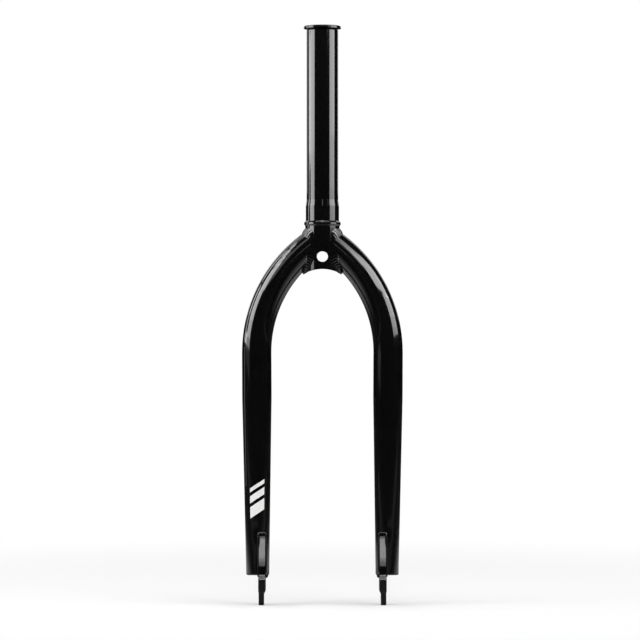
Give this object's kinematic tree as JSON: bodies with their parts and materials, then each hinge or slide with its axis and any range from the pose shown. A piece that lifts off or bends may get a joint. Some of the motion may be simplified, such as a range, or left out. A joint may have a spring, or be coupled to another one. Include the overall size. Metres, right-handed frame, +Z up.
{
  "type": "bmx fork",
  "caption": "Rigid BMX fork of welded steel tubes in gloss black: straight steerer with a flanged top bolt, curved tapered legs and slotted dropouts for a bolt-on front wheel.",
  "frame": {"origin": "on the steerer axis at the crown seat, the level where the lower headset bearing rests", "axes": "+Z up the steerer axis, -Y the riding direction, +X the rider's left"},
  "size_m": [0.1444, 0.0628, 0.5187],
  "materials": {
    "fork_paint": "gloss black paint",
    "bolt_black": "semi-gloss black"
  },
  "bodies": {
    "root": {"steerer_tube": "fork_paint", "compression_bolt": "bolt_black", "left_leg": "fork_paint", "left_leg_end_cap": "fork_paint", "left_dropout": "fork_paint", "left_dropout_weld": "fork_paint", "left_crown_weld": "fork_paint", "right_leg": "fork_paint", "right_leg_end_cap": "fork_paint", "right_dropout": "fork_paint", "right_dropout_weld": "fork_paint", "right_crown_weld": "fork_paint"}
  },
  "joints": []
}
